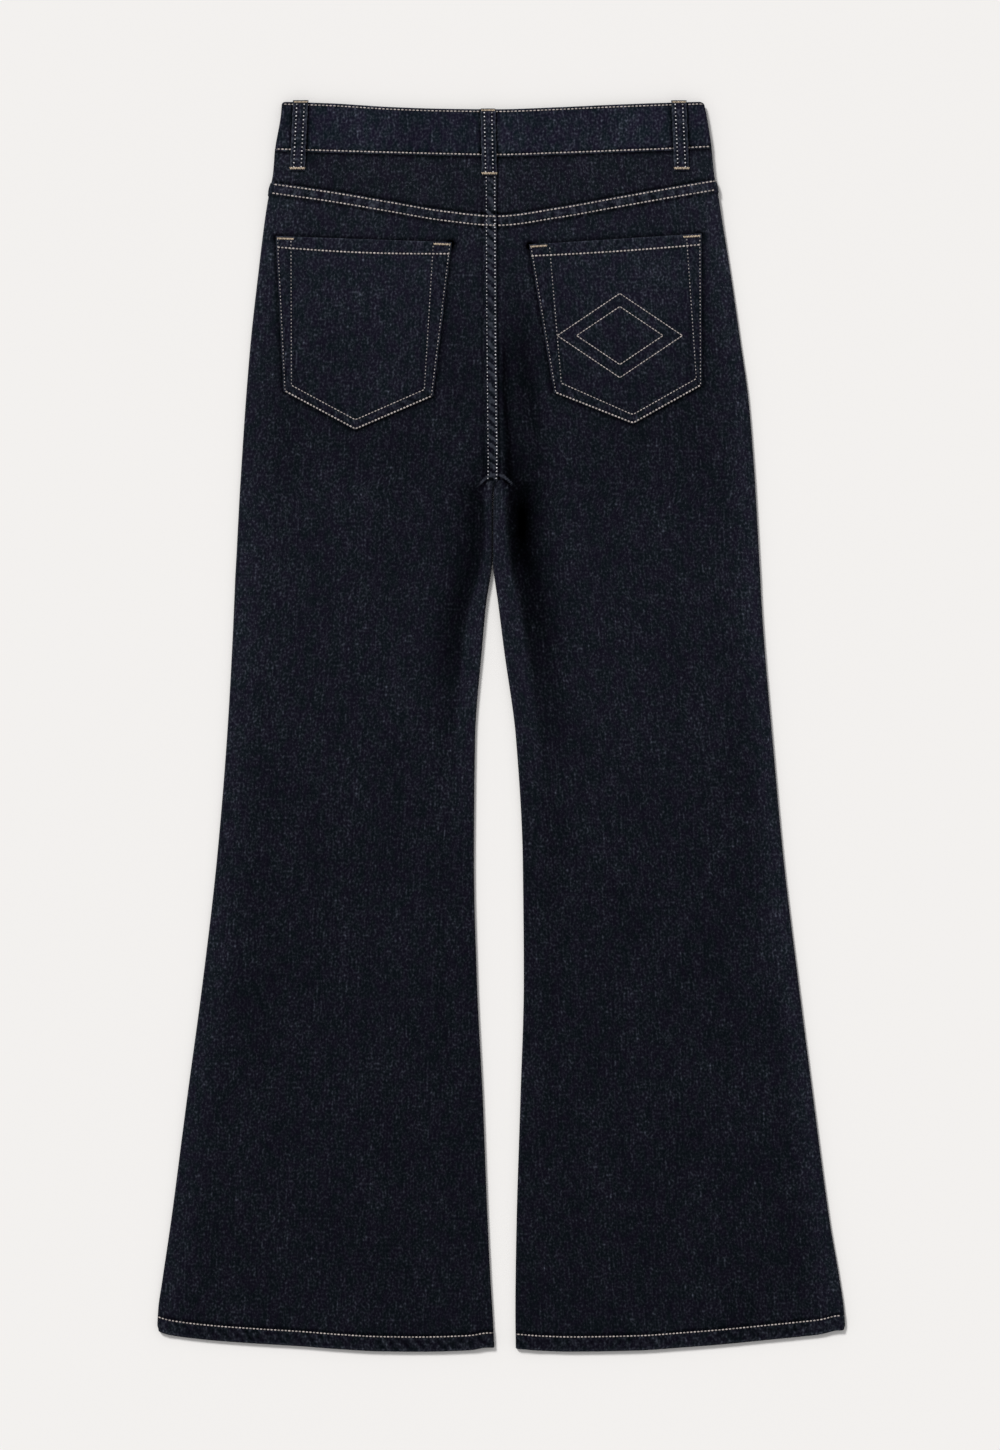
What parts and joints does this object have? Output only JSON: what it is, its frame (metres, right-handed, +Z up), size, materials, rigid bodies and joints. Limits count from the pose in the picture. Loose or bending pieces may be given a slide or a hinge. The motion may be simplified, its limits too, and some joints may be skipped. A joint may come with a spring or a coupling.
{
  "type": "wide leg jeans",
  "caption": "Wide leg jeans laid flat with the back uppermost: flared legs, yoke, patch pockets, waistband, belt loops and closed fly.",
  "frame": {"origin": "middle of the garment's outline, on the surface that it lies on", "axes": "+Y from the hems to the waist, +X to the wearer's right, +Z up from the surface towards the back of the jeans"},
  "size_m": [0.6061, 1.0994, 0.0096],
  "materials": {
    "denim": "dark indigo twill, matt, with cream thread",
    "zip": "woven tape with a closed metal chain",
    "button": "worn, satin"
  },
  "bodies": {
    "root": {"back_leg_left": "denim", "back_leg_right": "denim", "back_yoke_left": "denim", "back_yoke_right": "denim", "back_pocket_left": "denim", "back_pocket_right": "denim", "front_leg_left": "denim", "front_leg_right": "denim", "waistband": "denim", "belt_loop_centre": "denim", "belt_loop_back_left": "denim", "belt_loop_back_right": "denim", "belt_loop_front_left": "denim", "belt_loop_front_right": "denim", "fly_zip": "zip", "waist_button": "button"}
  },
  "joints": []
}
